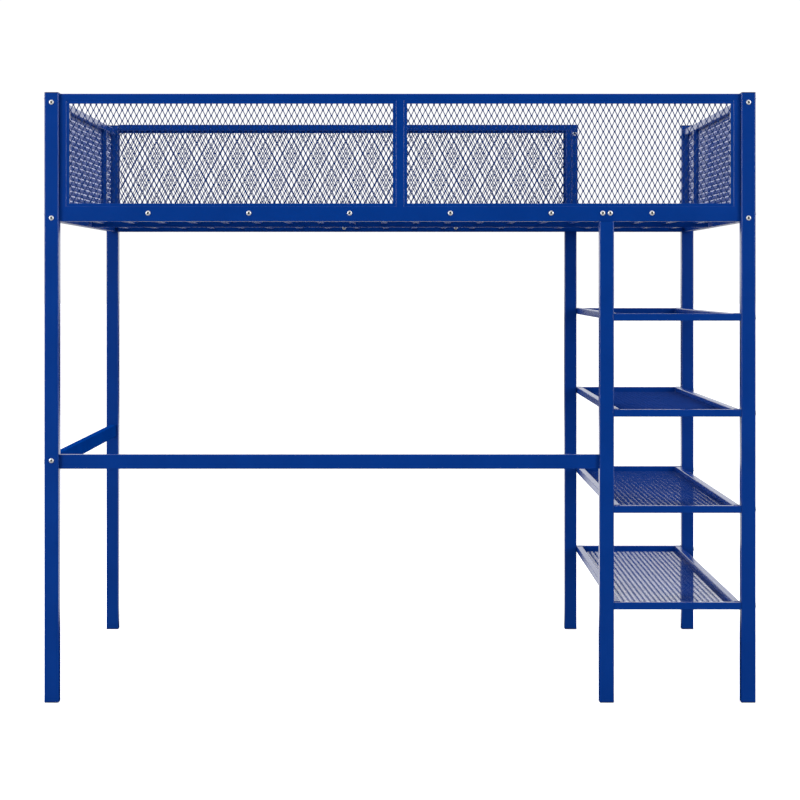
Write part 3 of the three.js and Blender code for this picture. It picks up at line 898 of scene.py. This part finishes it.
def add_world():
    """White all round to the eye. It lights and mirrors white from behind and dark from the
    front, as black flags beside the camera make it."""
    world = bpy.data.worlds.new("studio")
    SCENE.world = world
    world.use_nodes = True
    nodes, links = world.node_tree.nodes, world.node_tree.links
    nodes.clear()
    direction = nodes.new("ShaderNodeTexCoord")
    split = nodes.new("ShaderNodeSeparateXYZ")
    links.new(direction.outputs["Generated"], split.inputs[0])
    shade = nodes.new("ShaderNodeMapRange")
    shade.interpolation_type = "SMOOTHSTEP"
    shade.inputs["From Min"].default_value = WORLD_DARK_Y
    shade.inputs["From Max"].default_value = WORLD_WHITE_Y
    shade.inputs["To Min"].default_value = 0.0
    shade.inputs["To Max"].default_value = WORLD_STRENGTH
    links.new(split.outputs["Y"], shade.inputs["Value"])
    path = nodes.new("ShaderNodeLightPath")
    view = nodes.new("ShaderNodeMix")
    view.data_type = "FLOAT"
    view.inputs["B"].default_value = BACKDROP_STRENGTH
    links.new(path.outputs["Is Camera Ray"], view.inputs["Factor"])
    links.new(shade.outputs["Result"], view.inputs["A"])
    background = nodes.new("ShaderNodeBackground")
    background.inputs["Color"].default_value = WHITE
    links.new(view.outputs["Result"], background.inputs["Strength"])
    output = nodes.new("ShaderNodeOutputWorld")
    links.new(background.outputs["Background"], output.inputs["Surface"])


def add_light(name, position, size, energy, glossy=False):
    data = bpy.data.lights.new(name, "AREA")
    data.shape = "RECTANGLE"
    data.size, data.size_y = size
    data.energy = energy
    lamp = bpy.data.objects.new(name, data)
    lamp.location = position
    aim = Vector(LIGHT_TARGET) - Vector(position)
    lamp.rotation_euler = aim.to_track_quat("-Z", "Y").to_euler()
    lamp.visible_glossy = glossy
    lamp.visible_camera = False
    SCENE.collection.objects.link(lamp)


def add_lights():
    for end, x, power in (("left", -SOFTBOX_X, LEFT_POWER), ("right", SOFTBOX_X, RIGHT_POWER)):
        place = (x, SOFTBOX_Y, SOFTBOX_Z)
        add_light(f"front_{end}_softbox", place, SOFTBOX_SIZE, power, glossy=True)
    add_light("top_softbox", (0, 0, TOP_BOX_Z), TOP_BOX_SIZE, TOP_POWER)


def add_camera():
    data = bpy.data.cameras.new("camera")
    data.lens = CAMERA_LENS
    data.sensor_width = SENSOR_WIDTH
    data.shift_y = CAMERA_SHIFT
    data.clip_end = CAMERA_REACH
    camera = bpy.data.objects.new("camera", data)
    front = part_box("post_front_left")[0].y
    camera.location = (0, front - CAMERA_DISTANCE, CAMERA_HEIGHT)
    camera.rotation_euler = (math.radians(90), 0, 0)
    SCENE.collection.objects.link(camera)
    SCENE.camera = camera


def set_colours():
    SCENE.view_settings.view_transform = "Standard"
    SCENE.view_settings.look = "None"
    SCENE.view_settings.exposure = 0.0
    SCENE.view_settings.gamma = 1.0


add_posts()
add_guards()
add_deck()
add_lower_bars()
add_shelves()
add_sheets()
add_bolts()
add_hidden_side_bolts()
add_floor()
add_world()
add_lights()
add_camera()
set_colours()
